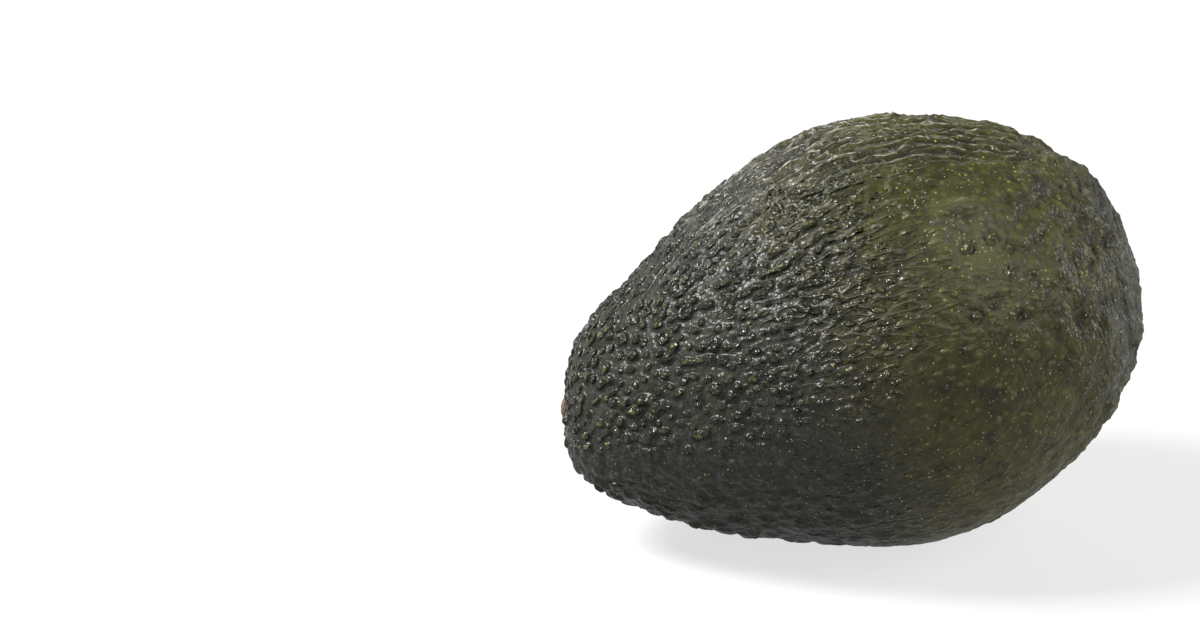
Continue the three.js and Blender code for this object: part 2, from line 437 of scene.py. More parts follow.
def wart_cover(directions, points):
    """The share of a wart's height that a place keeps."""
    along = directions[:, 0]
    upward = nearness_round(directions, math.pi / 2)
    over_top = smoothstep(nearness_round(directions, RIDGES_MIDDLE), 0.78, 0.9)
    lengthwise = 0.12 + 0.88 * smoothstep(-along, -0.35, 0.25)
    lengthwise *= 1 - 0.9 * over_top * smoothstep(along, -0.5, -0.2)
    underside = 0.15 + 0.85 * smoothstep(upward, -0.2, 0.35)
    from_stem = smoothstep(distance_from(points, STEM_PLACE), *STEM_EDGE_OF_WARTS)
    from_flat = smoothstep(distance_from(points, REST_PLACE), *FLAT_EDGE_OF_WARTS)
    return lengthwise * underside * from_stem * from_flat


def scatter_warts(marks):
    """Directions of warts, closer together on the neck, clear of the marks that stand out."""
    draw = np.random.default_rng(seed=11)
    directions = draw.normal(size=(WART_TRIES, 3))
    directions /= np.linalg.norm(directions, axis=1, keepdims=True)
    places = pear_points(directions)
    spacing = np.interp(directions[:, 0], SPACING_PLACES, WART_SPACINGS)
    spacing *= draw.uniform(*SPACING_RANGE, WART_TRIES)
    kept = np.empty((WART_TRIES, 3))
    chosen = []
    for i in range(WART_TRIES):
        if np.min(distance_from(marks, places[i])) < CLEAR_OF_MARKS:
            continue
        count = len(chosen)
        if count and np.min(np.sum((kept[:count] - places[i]) ** 2, axis=1)) < spacing[i] ** 2:
            continue
        kept[count] = places[i]
        chosen.append(i)
    return directions[chosen]


class WartField:
    """Heights of warts over the skin's points, gathered one wart at a time."""

    def __init__(self, points):
        self.points = points
        self.height = np.zeros(len(points))
        self.moat = np.zeros(len(points))
        self.top = np.zeros(len(points))
        self.tint = np.zeros(len(points))
        self.tree = KDTree(len(points))
        for i, point in enumerate(points):
            self.tree.insert(point, i)
        self.tree.balance()

    def raise_wart(
        self, direction, turn, length, width, peak, tint,
        ringed=False, moat=WART_MOAT, presence=1.0,
    ):
        centre = pear_points(direction[None])[0]
        normal = pear_normals(direction[None])[0]
        side = np.cross(normal, [1.0, 0.0, 0.0])
        side /= max(np.linalg.norm(side), TINY)
        meridian = np.cross(side, normal)
        lengthwise = meridian * math.cos(turn) + side * math.sin(turn)
        sideways = side * math.cos(turn) - meridian * math.sin(turn)
        found = self.tree.find_range(centre, WART_REACH * max(length, width))
        near = [entry[1] for entry in found]
        if not near:
            return
        offset = self.points[near] - centre
        far = np.hypot(offset @ lengthwise / length, offset @ sideways / width)
        dome = np.clip(1 - (far / DOME_EDGE) ** DOME_FALL, 0, 1) ** DOME_ROUNDING
        if ringed:
            dome = hill(far - RING_PLACE, RING_REACH) + RING_KNOB * hill(far, KNOB_REACH)
        ditch = moat * peak * hill(far - MOAT_PLACE, MOAT_REACH)
        self.height[near] = np.maximum(self.height[near], peak * dome)
        self.moat[near] = np.maximum(self.moat[near], ditch)
        self.tint[near] = np.where(dome > self.top[near], tint, self.tint[near])
        self.top[near] = np.maximum(self.top[near], presence * np.minimum(dome, 1))


def raise_marks(field, draw):
    """The warts, pocks and welts that stand out, each at its own place."""
    for along, around, radius, peak in RINGED_WARTS:
        place = direction_at(along, around)[0]
        field.raise_wart(place, 0, radius * RINGED_LENGTH, radius, peak, draw.random(), ringed=True)
    for along, around, radius, peak in POCKS:
        place = direction_at(along, around)[0]
        field.raise_wart(
            place, draw.random(), radius * POCK_LENGTH, radius, peak * POCK_HEIGHT, POCK_TINT,
            moat=POCK_MOAT, presence=POCK_PRESENCE,
        )
    for along, around, turn, length, width, peak in WELTS:
        place = direction_at(along, around)[0]
        field.raise_wart(place, math.radians(turn), length, width, peak, WELT_TINT)


def wart_relief(points):
    """The warts over each point of the skin."""
    draw = np.random.default_rng(seed=23)
    field = WartField(points)
    raise_marks(field, draw)
    marks = [direction_at(*mark[:2]) for mark in RINGED_WARTS + POCKS + WELTS]
    seeds = scatter_warts(pear_points(np.concatenate(marks)))
    cover = wart_cover(seeds, pear_points(seeds))
    for seed, share in zip(seeds, cover):
        ridged = hill(seed[0] - 0.05, 0.4) * max(seed[2], 0)
        width = np.interp(seed[0], RADIUS_PLACES, WART_RADII) * draw.uniform(*SIZE_RANGE)
        length = width * (draw.uniform(*LENGTH_RANGE) + ridged * draw.uniform(*RIDGED_RANGE))
        peak = WART_HEIGHT * share * draw.uniform(*HEIGHT_RANGE) * width
        ringed = draw.random() < RINGED_SHARE
        if ringed:
            width *= RINGED_SIZE
            length = width * RINGED_LENGTH
        turn = draw.normal() * WART_TURN
        presence = smoothstep(share, 0.1, 0.6)
        field.raise_wart(seed, turn, length, width, peak, draw.random(), ringed, presence=presence)
    return field


def dish_relief(points, bend):
    """A shallow round dish, with a raised rim on the side that faces up and towards the stem."""
    along, around, depth, reach, rim = DISH
    centre = pear_points(direction_at(along, around))[0]
    offset = points - centre
    away = np.linalg.norm(offset, axis=1) + 0.9 * bend
    upper = smoothstep(offset[:, 2] - 0.6 * offset[:, 0], -1.5, 3.0)
    raised = rim * upper * hill(away - RIM_PLACE * reach, RIM_WIDTH * reach)
    return raised - depth * hill(away, reach)


def low_lumps(along, points):
    """Low lumps all over, and creased and uneven ones on the broad end."""
    broad = smoothstep(along, 0.35, 0.85)
    blunt = smoothstep(along, 0.75, 0.95)
    uneven = smoothstep(along, -0.1, 0.3) * (1 - 0.5 * blunt)
    creased = np.abs(Noise(seed=46)(points / CREASED_WIDTH)) - 0.38
    lumps = layered_noise(points, LOW_LUMPS)
    lumps += (0.1 + 1.5 * broad - 0.8 * blunt) * creased
    lumps -= 0.12 * blunt
    lumps += FULLER_SHOULDER * smoothstep(along, 0.45, 0.75) * smoothstep(-along, -0.98, -0.86)
    lumps += swell(points, FULLER_PLACES)
    lumps += uneven * layered_noise(points, UNEVEN_END)
    return lumps


def wrinkle_waves(directions, grain, bend):
    """Waves that cross zero at each wrinkle's crest, and how much of each kind a place has."""
    along = directions[:, 0]
    around = np.arctan2(directions[:, 2], directions[:, 1])
    long_wave = np.sin(RIDGES_ROUND / 2 * around + layered_noise(grain, WRINKLE_WARP))
    long_cover = smoothstep(nearness_round(directions, RIDGES_MIDDLE), 0.77, 0.88)
    long_cover *= smoothstep(along, -0.6, -0.25) * smoothstep(-along, -0.85, -0.5)
    long_cover *= 0.3 + 0.7 * smoothstep(Noise(seed=56)(grain / LONG_BREAKS), -0.4, 0.3)
    upward = nearness_round(directions, math.pi / 2)
    return {
        "long_wave": long_wave,
        "long_cover": long_cover,
        "short_wave": Noise(seed=47)(grain / SHORT_WIDTH + bend * 0.3),
        "short_cover": smoothstep(upward, 0.1, 0.6) * hill(along + 0.05, 0.3),
    }


def wrinkle_relief(along, grain, bend, waves):
    """The long and short wrinkles of the top, and those round the blossom end."""
    long_crests = hill(waves["long_wave"], 0.4) - 0.4
    short_crests = hill(waves["short_wave"], 0.25)
    end_crests = hill(Noise(seed=49)(grain / END_WIDTH + bend * 0.5), 0.35) - 0.7
    relief = LONG_HEIGHT * waves["long_cover"] * long_crests
    relief += SHORT_HEIGHT * waves["short_cover"] * short_crests
    relief += END_HEIGHT * smoothstep(along, 0.55, 0.85) * end_crests
    return relief


def scale_relief(directions, grain, bend):
    """Flat scales of uneven height with grooves between, deepest on the broad end and underneath."""
    along = directions[:, 0]
    under = smoothstep(-nearness_round(directions, math.pi / 2), -0.1, 0.5)
    cover = 0.16 + 0.6 * smoothstep(along, 0.35, 0.85) + 1.2 * under * smoothstep(-along, -0.2, 0.3)
    nearest, second, number = Cells(seed=48)(grain / SCALE_WIDTH + bend * 0.3)
    return SCALE_HEIGHT * cover * (smoothstep(second - nearest, 0.0, 0.5) * (0.5 + number) - 0.5)


def boss_relief(along, points, bend):
    """Small bosses on the broad end, each in a ringed groove."""
    away, _, number = Cells(seed=50)(points / BOSS_SPACING + bend * 0.4)
    bosses = hill(away, 0.26) - 0.6 * hill(away - 0.5, 0.16)
    bosses *= smoothstep(number, 0.35, 0.9)
    return BOSS_HEIGHT * bosses * smoothstep(along, -0.1, 0.3) * smoothstep(-along, -0.9, -0.6)


def skin_relief(directions, points, grain):
    """Everything finer than the broad form, in millimetres, and the marks that its colours follow."""
    along = directions[:, 0]
    from_flat = smoothstep(distance_from(points, REST_PLACE), *FLAT_EDGE)
    from_stem = smoothstep(distance_from(points, STEM_PLACE), *STEM_EDGE)
    bend = BEND * np.stack([Noise(seed)(points / BEND_WIDTH) for seed in BEND_SEEDS], axis=1)
    field = wart_relief(points + bend)
    warts = np.where(field.height > field.moat, field.height, -field.moat * (1 - field.top))
    waves = wrinkle_waves(directions, grain, bend)
    fine = warts + wrinkle_relief(along, grain, bend, waves) + scale_relief(directions, grain, bend)
    fine += layered_noise(points, PEBBLING) + boss_relief(along, points, bend)
    coarse = low_lumps(along, points) + dish_relief(points, bend[:, 0])
    marks = {"wart": field.top, "tint": field.tint, "relief": fine, **waves}
    return (fine + coarse) * from_flat * from_stem, marks


def build_skin():
    directions, faces = cube_ball(SQUARES)
    directions = crowd_to_neck(directions)
    points = pear_points(directions)
    grain = meridian_coordinates(directions)
    relief, marks = skin_relief(directions, points, grain)
    heights = broad_relief(points) + relief
    skin = to_part_frame(points + pear_normals(directions) * heights[:, None])
    skin[:, 2] = np.maximum(skin[:, 2], 0)
    piece = smooth_piece("fruit_skin", skin, faces.tolist())
    for name, values in marks.items():
        store(piece.data, name, values)
    store(piece.data, "along", directions[:, 0])
    store(piece.data, "from_stem", distance_from(points, STEM_PLACE))
    store(piece.data, "from_blossom", distance_from(points, BLOSSOM_PLACE))
    layer = piece.data.attributes.new("grain", "FLOAT_VECTOR", "POINT")
    layer.data.foreach_set("vector", grain.astype(np.float32).ravel())
    return piece


def smooth_piece(name, points, faces):
    """A smooth-shaded piece from points in millimetres."""
    mesh = bpy.data.meshes.new(name)
    mesh.from_pydata((points * MM).tolist(), [], faces)
    mesh.polygons.foreach_set("use_smooth", [True] * len(mesh.polygons))
    mesh.validate()
    piece = bpy.data.objects.new(name, mesh)
    bpy.context.scene.collection.objects.link(piece)
    return piece


def store(mesh, name, values):
    layer = mesh.attributes.new(name, "FLOAT", "POINT")
    layer.data.foreach_set("value", values.astype(np.float32))


# Node helpers.

class Nodes:
    """A material's node tree, with short ways to add and join nodes."""

    def __init__(self, name):
        self.material = bpy.data.materials.new(name)
        self.material.use_nodes = True
        self.tree = self.material.node_tree
        self.tree.nodes.clear()
        self.output = self.add("ShaderNodeOutputMaterial")
        self.shader = self.add("ShaderNodeBsdfPrincipled")
        self.join(self.shader.outputs["BSDF"], self.output.inputs["Surface"])

    def add(self, kind, **settings):
        node = self.tree.nodes.new(kind)
        for name, value in settings.items():
            setattr(node, name, value)
        return node

    def join(self, source, target):
        self.tree.links.new(source, target)

    def feed(self, target, value):
        if isinstance(value, bpy.types.NodeSocket):
            self.join(value, target)
        else:
            target.default_value = value

    def math(self, operation, first, second=0.0, third=0.0):
        node = self.add("ShaderNodeMath", operation=operation)
        for target, value in zip(node.inputs, (first, second, third)):
            self.feed(target, value)
        return node.outputs[0]

    def times(self, first, second):
        return self.math("MULTIPLY", first, second)

    def attribute(self, name, output="Fac"):
        return self.add("ShaderNodeAttribute", attribute_name=name).outputs[output]

    def ramp(self, value, low, high, start=0.0, end=1.0):
        """Goes smoothly from start to end as value goes from low to high."""
        node = self.add("ShaderNodeMapRange", interpolation_type="SMOOTHSTEP")
        sockets = ("Value", "From Min", "From Max", "To Min", "To Max")
        for name, given in zip(sockets, (value, low, high, start, end)):
            self.feed(node.inputs[name], given)
        return node.outputs["Result"]

    def blend(self, share, first, second):
        node = self.add("ShaderNodeMix", data_type="RGBA")
        self.feed(node.inputs["Factor"], share)
        self.feed(node.inputs["A"], colour(first) if isinstance(first, tuple) else first)
        self.feed(node.inputs["B"], colour(second) if isinstance(second, tuple) else second)
        return node.outputs["Result"]

    def paint_over(self, base, paint, value, low, high, start=0.0, end=1.0):
        """The base colour with paint over it: a share from start to end as value goes from low to high."""
        return self.blend(self.ramp(value, low, high, start, end), base, paint)

    def place(self, scale=(1.0, 1.0, 1.0), source=None):
        """The place in millimetres, stretched by scale."""
        if source is None:
            source = self.add("ShaderNodeTexCoord").outputs["Object"]
            scale = tuple(part / MM for part in scale)
        node = self.add("ShaderNodeVectorMath", operation="MULTIPLY")
        self.join(source, node.inputs[0])
        node.inputs[1].default_value = scale
        return node.outputs["Vector"]

    def noise(self, where, width, detail=2.0, roughness=0.5):
        node = self.add("ShaderNodeTexNoise")
        self.join(where, node.inputs["Vector"])
        node.inputs["Scale"].default_value = 1 / width
        node.inputs["Detail"].default_value = detail
        node.inputs["Roughness"].default_value = roughness
        return node.outputs["Fac"]

    def cells(self, where, width, output="Distance"):
        node = self.add("ShaderNodeTexVoronoi")
        self.join(where, node.inputs["Vector"])
        node.inputs["Scale"].default_value = 1 / width
        return node.outputs[output]

    def bump(self, height, depth, normal=None):
        """Raises the surface by depth millimetres where height is 1."""
        node = self.add("ShaderNodeBump")
        node.inputs["Distance"].default_value = depth * MM
        self.join(height, node.inputs["Height"])
        if normal is not None:
            self.join(normal, node.inputs["Normal"])
        return node.outputs["Normal"]


def colour(rgb):
    return (*rgb, 1.0)


# Colours, as linear red, green and blue.
CHARCOAL = (0.021, 0.020, 0.0165)
# Painted shade: a near-black colour for the underside.
PAINTED_UNDERSIDE_SHADE = (0.007, 0.006, 0.006)
OLIVE = (0.048, 0.0455, 0.009)
GREEN = (0.024, 0.0265, 0.001)
# Painted sparkle: a pale grey grain that stands for fine glints.
PAINTED_SPARKLE_GREY = (0.072, 0.070, 0.063)
# Dark mottling, and painted shade in hollows, valleys and between bumps.
DARK_MOTTLE_AND_SHADE = (0.006, 0.006, 0.004)
WART_BODY = (0.010, 0.010, 0.007)
PALE_OLIVE = (0.072, 0.070, 0.028)
# Pale wart tips, partly a painted highlight.
WART_TIP_AND_HIGHLIGHT = (0.075, 0.078, 0.02)
LENTICEL = (0.20, 0.21, 0.045)
# Pale specks, partly painted glints.
PALE_SPECK_AND_GLINT = (0.31, 0.30, 0.24)
# Painted highlight: a pale colour on wrinkle crests, standing for the light that rims them.
PAINTED_CREST_HIGHLIGHT = (0.24, 0.236, 0.19)
# Painted sheen: a grey that stands for light glancing off the blossom end.
PAINTED_SHEEN_GREY = (0.078, 0.075, 0.070)
CORK = (0.065, 0.034, 0.017)
GREEN_PATCH = (4, -15, 68)  # the middle of the green patch on top, in millimetres
DISH_PATCH = (11, -24, 62)  # and of the pale dish

# The skin's dots and fine relief, in millimetres.
LENTICEL_SPACING = 1.0
LENTICEL_RADIUS = 0.22
SPECK_SPACING = 0.7
SPECK_RADIUS = 0.18
DOT_STRENGTH = 0.7  # the share of their colour that both kinds of dots show
SMALL_WART_SPACING = 1.5
SMALL_WART_DEPTH = 0.4
STREAK_WIDTH = 0.8
STREAK_DEPTH = 0.42
CREST_DEPTH = 0.25
RING_WIDTH = 0.7
RING_DEPTH = 0.6
CRUMB_WIDTH = 0.7
CRUMB_DEPTH = 0.4
GRAIN_WIDTH = 0.7
GRAIN_DEPTH = 0.2

# How each kind of fine relief is stretched: along the meridian, then across it.
SMALL_WART_STRETCH = (0.65, 1.0, 1.0)
STREAK_STRETCH = (0.4, 1.0, 1.0)
RING_STRETCH = (1.0, 0.2, 0.2)

# Roughness, and how much small warts and wrinkle crests take from it.
NECK_ROUGHNESS = 0.52
END_ROUGHNESS = 0.6
WART_ROUGHNESS = 0.22
LEAST_ROUGHNESS = 0.17
SMALL_WART_GLOSS = 0.14
CREST_GLOSS = 0.38


def scattered_dots(nodes, where, width, largest, share):
    """Round dots of uneven size, one in each cell at most; share is how many cells have one."""
    distance = nodes.cells(where, width)
    draw = nodes.add("ShaderNodeSeparateColor")
    nodes.join(nodes.cells(where, width, output="Color"), draw.inputs[0])
    radius = nodes.ramp(draw.outputs[1], 0.0, 1.0, 0.45 * largest, largest)
    inside = nodes.ramp(nodes.math("DIVIDE", distance, radius), 0.7, 1.1, start=1, end=0)
    return nodes.times(inside, nodes.math("LESS_THAN", draw.outputs[0], share))


def distance_to(nodes, where, place):
    node = nodes.add("ShaderNodeVectorMath", operation="DISTANCE")
    nodes.join(where, node.inputs[0])
    node.inputs[1].default_value = place
    return node.outputs["Value"]


def ragged(nodes, distance, mottled, amount):
    """A distance in millimetres that wanders by up to amount, for an uneven edge."""
    return nodes.math("MULTIPLY_ADD", mottled, amount, distance)


def sharp_ridges(nodes, name, width):
    """Thin lines where a wave over the skin crosses zero, as strong as its cover."""
    wave = nodes.math("ABSOLUTE", nodes.attribute(name + "_wave"))
    return nodes.times(nodes.ramp(wave, 0.0, width, start=1, end=0), nodes.attribute(name + "_cover"))


def zone_colours(nodes, where, along, mottled):
    """Painted shade underneath, charcoal neck, olive broad end, a grey painted sheen on the blossom end and
    the green patch on top.
    """
    cloudy = nodes.noise(where, 22, detail=3)
    split = nodes.add("ShaderNodeSeparateXYZ")
    nodes.join(where, split.inputs[0])
    drift = nodes.math("MULTIPLY_ADD", nodes.math("SUBTRACT", cloudy, 0.5), 1.1, along)
    # Painted shade: the skin goes darker towards the bottom, below 34 mm.
    base = nodes.blend(nodes.ramp(split.outputs["Z"], 8, 34), PAINTED_UNDERSIDE_SHADE, CHARCOAL)
    base = nodes.paint_over(base, OLIVE, drift, -0.3, 0.4)
    # Painted sheen: the blossom end turns grey.
    base = nodes.paint_over(base, PAINTED_SHEEN_GREY, drift, 0.72, 1.02, end=0.75)
    green_edge = ragged(nodes, distance_to(nodes, where, GREEN_PATCH), mottled, 16)
    return nodes.paint_over(base, GREEN, green_edge, 12, 32, start=0.9, end=0)


def stains_and_painted_light(nodes, base, where, along, mottled, small_warts):
    """Pale and dark blotches, the pale dish, a pale grain of painted sparkle, painted shade in the hollows
    between pebbles and painted highlights on the crests of the long wrinkles.
    """
    dish_edge = ragged(nodes, distance_to(nodes, where, DISH_PATCH), mottled, 8)
    grainy = nodes.noise(where, 1.6, detail=4, roughness=0.65)
    base = nodes.paint_over(base, PALE_OLIVE, grainy, 0.5, 0.65, end=0.3)
    base = nodes.paint_over(base, DARK_MOTTLE_AND_SHADE, grainy, 0.5, 0.35, end=0.42)
    # Painted sparkle: a fine pale grain, most on the neck.
    sparkle_grain = nodes.noise(where, 0.5, detail=2, roughness=0.6)
    most_sparkle = nodes.ramp(along, -0.2, 0.3, start=0.45, end=0.1)
    base = nodes.paint_over(base, PAINTED_SPARKLE_GREY, sparkle_grain, 0.5, 0.7, end=most_sparkle)
    blotches = nodes.ramp(nodes.noise(where, 7, detail=3, roughness=0.6), 0.5, 0.68, end=0.38)
    base = nodes.blend(nodes.times(blotches, nodes.ramp(dish_edge, 8, 18)), base, DARK_MOTTLE_AND_SHADE)
    base = nodes.paint_over(base, DARK_MOTTLE_AND_SHADE, mottled, 0.45, 0.68, end=0.35)
    base = nodes.paint_over(base, PALE_OLIVE, dish_edge, 5, 16, start=0.75, end=0)
    # Painted shade: the skin goes darker where its relief sinks below the mean.
    base = nodes.paint_over(base, DARK_MOTTLE_AND_SHADE, nodes.attribute("relief"), 0.0, -0.25, end=0.6)
    # Painted shade in the gaps between the small warts.
    base = nodes.paint_over(base, DARK_MOTTLE_AND_SHADE, small_warts, 0.35, 0.0, end=0.35)
    base = nodes.paint_over(base, PALE_OLIVE, small_warts, 0.6, 1.0, end=0.3)
    # Painted highlights along the crests of the long wrinkles.
    painted_rims = nodes.times(sharp_ridges(nodes, "long", 0.26), nodes.ramp(grainy, 0.42, 0.58, start=0.2))
    return nodes.blend(painted_rims, base, PAINTED_CREST_HIGHLIGHT)


def wrinkle_shade_and_highlights(nodes, base):
    """Painted shade in the valleys between the long wrinkles, and painted highlights on the crests of the
    short ones.
    """
    wave = nodes.math("ABSOLUTE", nodes.attribute("long_wave"))
    # Painted shade in the valleys between the long wrinkles.
    valleys = nodes.times(nodes.ramp(wave, 0.4, 0.95), nodes.attribute("long_cover"))
    base = nodes.blend(nodes.times(valleys, 0.6), base, DARK_MOTTLE_AND_SHADE)
    # Painted highlights on the crests of the short wrinkles.
    return nodes.blend(nodes.times(sharp_ridges(nodes, "short", 0.12), 0.2), base, PAINTED_CREST_HIGHLIGHT)


def wart_colours(nodes, base, wart):
    """Dark warts, some with a pale tip that is partly a painted highlight."""
    base = nodes.paint_over(base, WART_BODY, wart, 0.0, 0.6, end=0.5)
    paleness = nodes.ramp(nodes.attribute("tint"), 0.55, 0.95, start=0.05, end=0.62)
    # Pale tips on some warts, partly a painted highlight.
    return nodes.blend(nodes.times(nodes.ramp(wart, 0.72, 1.0), paleness), base, WART_TIP_AND_HIGHLIGHT)


def dots_and_specks(nodes, base, where, along):
    """Yellow-green lenticels, in clusters and fewer on the neck and the long wrinkles, and pale specks that
    are partly painted glints.
    """
    clusters = nodes.ramp(nodes.noise(where, 5), 0.38, 0.62, start=0.1, end=0.65)
    lengthwise = nodes.ramp(along, -0.4, 0.3, start=0.08)
    between_ridges = nodes.ramp(nodes.attribute("long_cover"), 0.1, 0.7, start=1, end=0.3)
    share = nodes.times(clusters, nodes.times(lengthwise, between_ridges))
    lenticels = scattered_dots(nodes, where, LENTICEL_SPACING, LENTICEL_RADIUS, share)
    base = nodes.blend(nodes.times(lenticels, DOT_STRENGTH), base, LENTICEL)
    # Pale specks, partly painted glints, in clusters.
    share = nodes.ramp(nodes.noise(where, 3.5), 0.35, 0.6, start=0.15, end=0.75)
    specks = scattered_dots(nodes, where, SPECK_SPACING, SPECK_RADIUS, share)
    return nodes.blend(nodes.times(specks, DOT_STRENGTH), base, PALE_SPECK_AND_GLINT)


def corky_ends(nodes, base, mottled):
    """Reddish brown skin round the stem button and on the blossom scar."""
    stem_edge = ragged(nodes, nodes.attribute("from_stem"), mottled, 2.4)
    base = nodes.paint_over(base, CORK, stem_edge, 4.6, 7.0, start=0.9, end=0)
    scar_edge = ragged(nodes, nodes.attribute("from_blossom"), mottled, 1.5)
    return nodes.paint_over(base, CORK, scar_edge, 1.8, 3.0, start=0.9, end=0)


def skin_colour(nodes, where, wart, along, small_warts):
    mottled = nodes.noise(where, 3.5, detail=4, roughness=0.6)
    base = zone_colours(nodes, where, along, mottled)
    base = stains_and_painted_light(nodes, base, where, along, mottled, small_warts)
    base = wrinkle_shade_and_highlights(nodes, base)
    base = wart_colours(nodes, base, wart)
    base = dots_and_specks(nodes, base, where, along)
    return corky_ends(nodes, base, mottled)


def skin_roughness(nodes, wart, along, small_warts, ridges):
    """Satin ground, glossier on warts, small warts and wrinkle crests."""
    ground = nodes.ramp(along, -0.2, 0.3, start=NECK_ROUGHNESS, end=END_ROUGHNESS)
    on_warts = nodes.ramp(wart, 0.05, 0.4, start=ground, end=WART_ROUGHNESS)
    on_small_warts = nodes.ramp(small_warts, 0.3, 1.0, end=-SMALL_WART_GLOSS)
    rough = nodes.math("ADD", on_warts, on_small_warts)
    rough = nodes.math("SUBTRACT", rough, nodes.times(ridges, CREST_GLOSS))
    return nodes.math("MAXIMUM", rough, LEAST_ROUGHNESS)


def skin_bump(nodes, where, grain, wart, along, small_warts, ridges):
    """The relief finer than the mesh."""
    mild_neck = nodes.ramp(along, -0.6, -0.2, start=0.3)
    mild_end = nodes.ramp(along, 0.0, 0.5, start=1, end=0.3)
    calm = nodes.ramp(nodes.attribute("long_cover"), 0.1, 0.6, start=1, end=0.1)
    bumpy = nodes.times(nodes.times(small_warts, nodes.times(mild_neck, mild_end)), calm)
    normal = nodes.bump(bumpy, SMALL_WART_DEPTH)

    past_neck = nodes.ramp(along, -0.4, 0.0, start=0.1)
    before_end = nodes.ramp(along, 0.0, 0.35, start=1, end=0)
    streaky = nodes.times(nodes.times(past_neck, before_end), calm)
    streaks = nodes.noise(nodes.place(STREAK_STRETCH, grain), STREAK_WIDTH, detail=1)
    normal = nodes.bump(nodes.times(streaks, streaky), STREAK_DEPTH, normal)
    normal = nodes.bump(ridges, CREST_DEPTH, normal)

    rings = nodes.noise(nodes.place(RING_STRETCH, grain), RING_WIDTH, detail=1)
    normal = nodes.bump(nodes.times(rings, nodes.ramp(along, 0.55, 0.9)), RING_DEPTH, normal)
    crumbs = nodes.times(nodes.noise(where, CRUMB_WIDTH, detail=0), nodes.ramp(wart, 0.2, 0.6))
    normal = nodes.bump(crumbs, CRUMB_DEPTH, normal)
    return nodes.bump(nodes.noise(where, GRAIN_WIDTH, detail=1), GRAIN_DEPTH, normal)


def skin_material():
    nodes = Nodes("pebbled_skin")
    where = nodes.place()
    grain = nodes.attribute("grain", "Vector")
    along = nodes.attribute("along")
    wart = nodes.attribute("wart")
    spots = nodes.cells(nodes.place(SMALL_WART_STRETCH, grain), SMALL_WART_SPACING)
    small_warts = nodes.ramp(spots, 0.05, 0.42, start=1, end=0)
    ridges = nodes.math("ADD", sharp_ridges(nodes, "long", 0.35), sharp_ridges(nodes, "short", 0.2))
    base = skin_colour(nodes, where, wart, along, small_warts)
    nodes.join(base, nodes.shader.inputs["Base Color"])
    rough = skin_roughness(nodes, wart, along, small_warts, ridges)
    nodes.join(rough, nodes.shader.inputs["Roughness"])
    nodes.shader.inputs["Specular IOR Level"].default_value = 0.11
    nodes.shader.inputs["Coat Weight"].default_value = 0.13
    nodes.shader.inputs["Coat Roughness"].default_value = 0.2
    normal = skin_bump(nodes, where, grain, wart, along, small_warts, ridges)
    nodes.join(normal, nodes.shader.inputs["Normal"])
    nodes.join(normal, nodes.shader.inputs["Coat Normal"])
    return nodes.material


# The stem button.

BUTTON_ROOT = 2.6
BUTTON_RADIUS = 3.4
BUTTON_RISE = 1.5
BUTTON_FLARE = 0.6
BUTTON_DISH = 0.45
BUTTON_POLE = 0.02  # the radius of the small faces that close its two ends
SOCKET_DEPTH = 2.2
CLEARANCE = 0.3
BUTTON_LOBES = 5
LOBE_SHARE = 0.05
BUTTON_RINGS = 84
BUTTON_STEPS = 120
WOOD_DARK = (0.055, 0.030, 0.016)
WOOD_BROWN = (0.16, 0.095, 0.05)
WOOD_TORN = (0.27, 0.19, 0.11)
WOOD_CRACK = (0.03, 0.018, 0.01)


def button_profile():
    """Radius and height of each ring, evenly spaced from the foot over the rim to the middle of the top."""
    top = BUTTON_RISE
    knots = np.array([
        (BUTTON_POLE, CLEARANCE - SOCKET_DEPTH),
        (BUTTON_ROOT, CLEARANCE - SOCKET_DEPTH),
        (BUTTON_ROOT, BUTTON_FLARE * 0.7),
        (BUTTON_RADIUS * 0.96, BUTTON_FLARE),
        (BUTTON_RADIUS, (BUTTON_FLARE + top) / 2),
        (BUTTON_RADIUS * 0.93, top * 0.94),
        (BUTTON_RADIUS * 0.78, top),
        (BUTTON_RADIUS * 0.55, top - BUTTON_DISH * 0.4),
        (BUTTON_RADIUS * 0.3, top - BUTTON_DISH),
        (BUTTON_POLE, top - BUTTON_DISH * 0.8),
    ])
    reach = np.concatenate([[0], np.cumsum(np.linalg.norm(np.diff(knots, axis=0), axis=1))])
    steps = np.linspace(0, reach[-1], BUTTON_RINGS)
    return np.interp(steps, reach, knots[:, 0]), np.interp(steps, reach, knots[:, 1])


def noise_on_rings(seed, radius, angle, height):
    """Smooth noise at each ring's points, given in units of one bump's width."""
    points = np.stack([radius * np.cos(angle), radius * np.sin(angle), height], -1)
    return Noise(seed)(points.reshape(-1, 3)).reshape(angle.shape)


def ring_faces(rows, columns):
    """Squares between closed rings of points, and one face across each end."""
    faces = []
    for start in range(0, (rows - 1) * columns, columns):
        for k in range(columns):
            after = (k + 1) % columns
            faces.append((start + k, start + columns + k, start + columns + after, start + after))
    faces.append(tuple(range(columns)))
    faces.append(tuple(range((rows - 1) * columns, rows * columns))[::-1])
    return faces


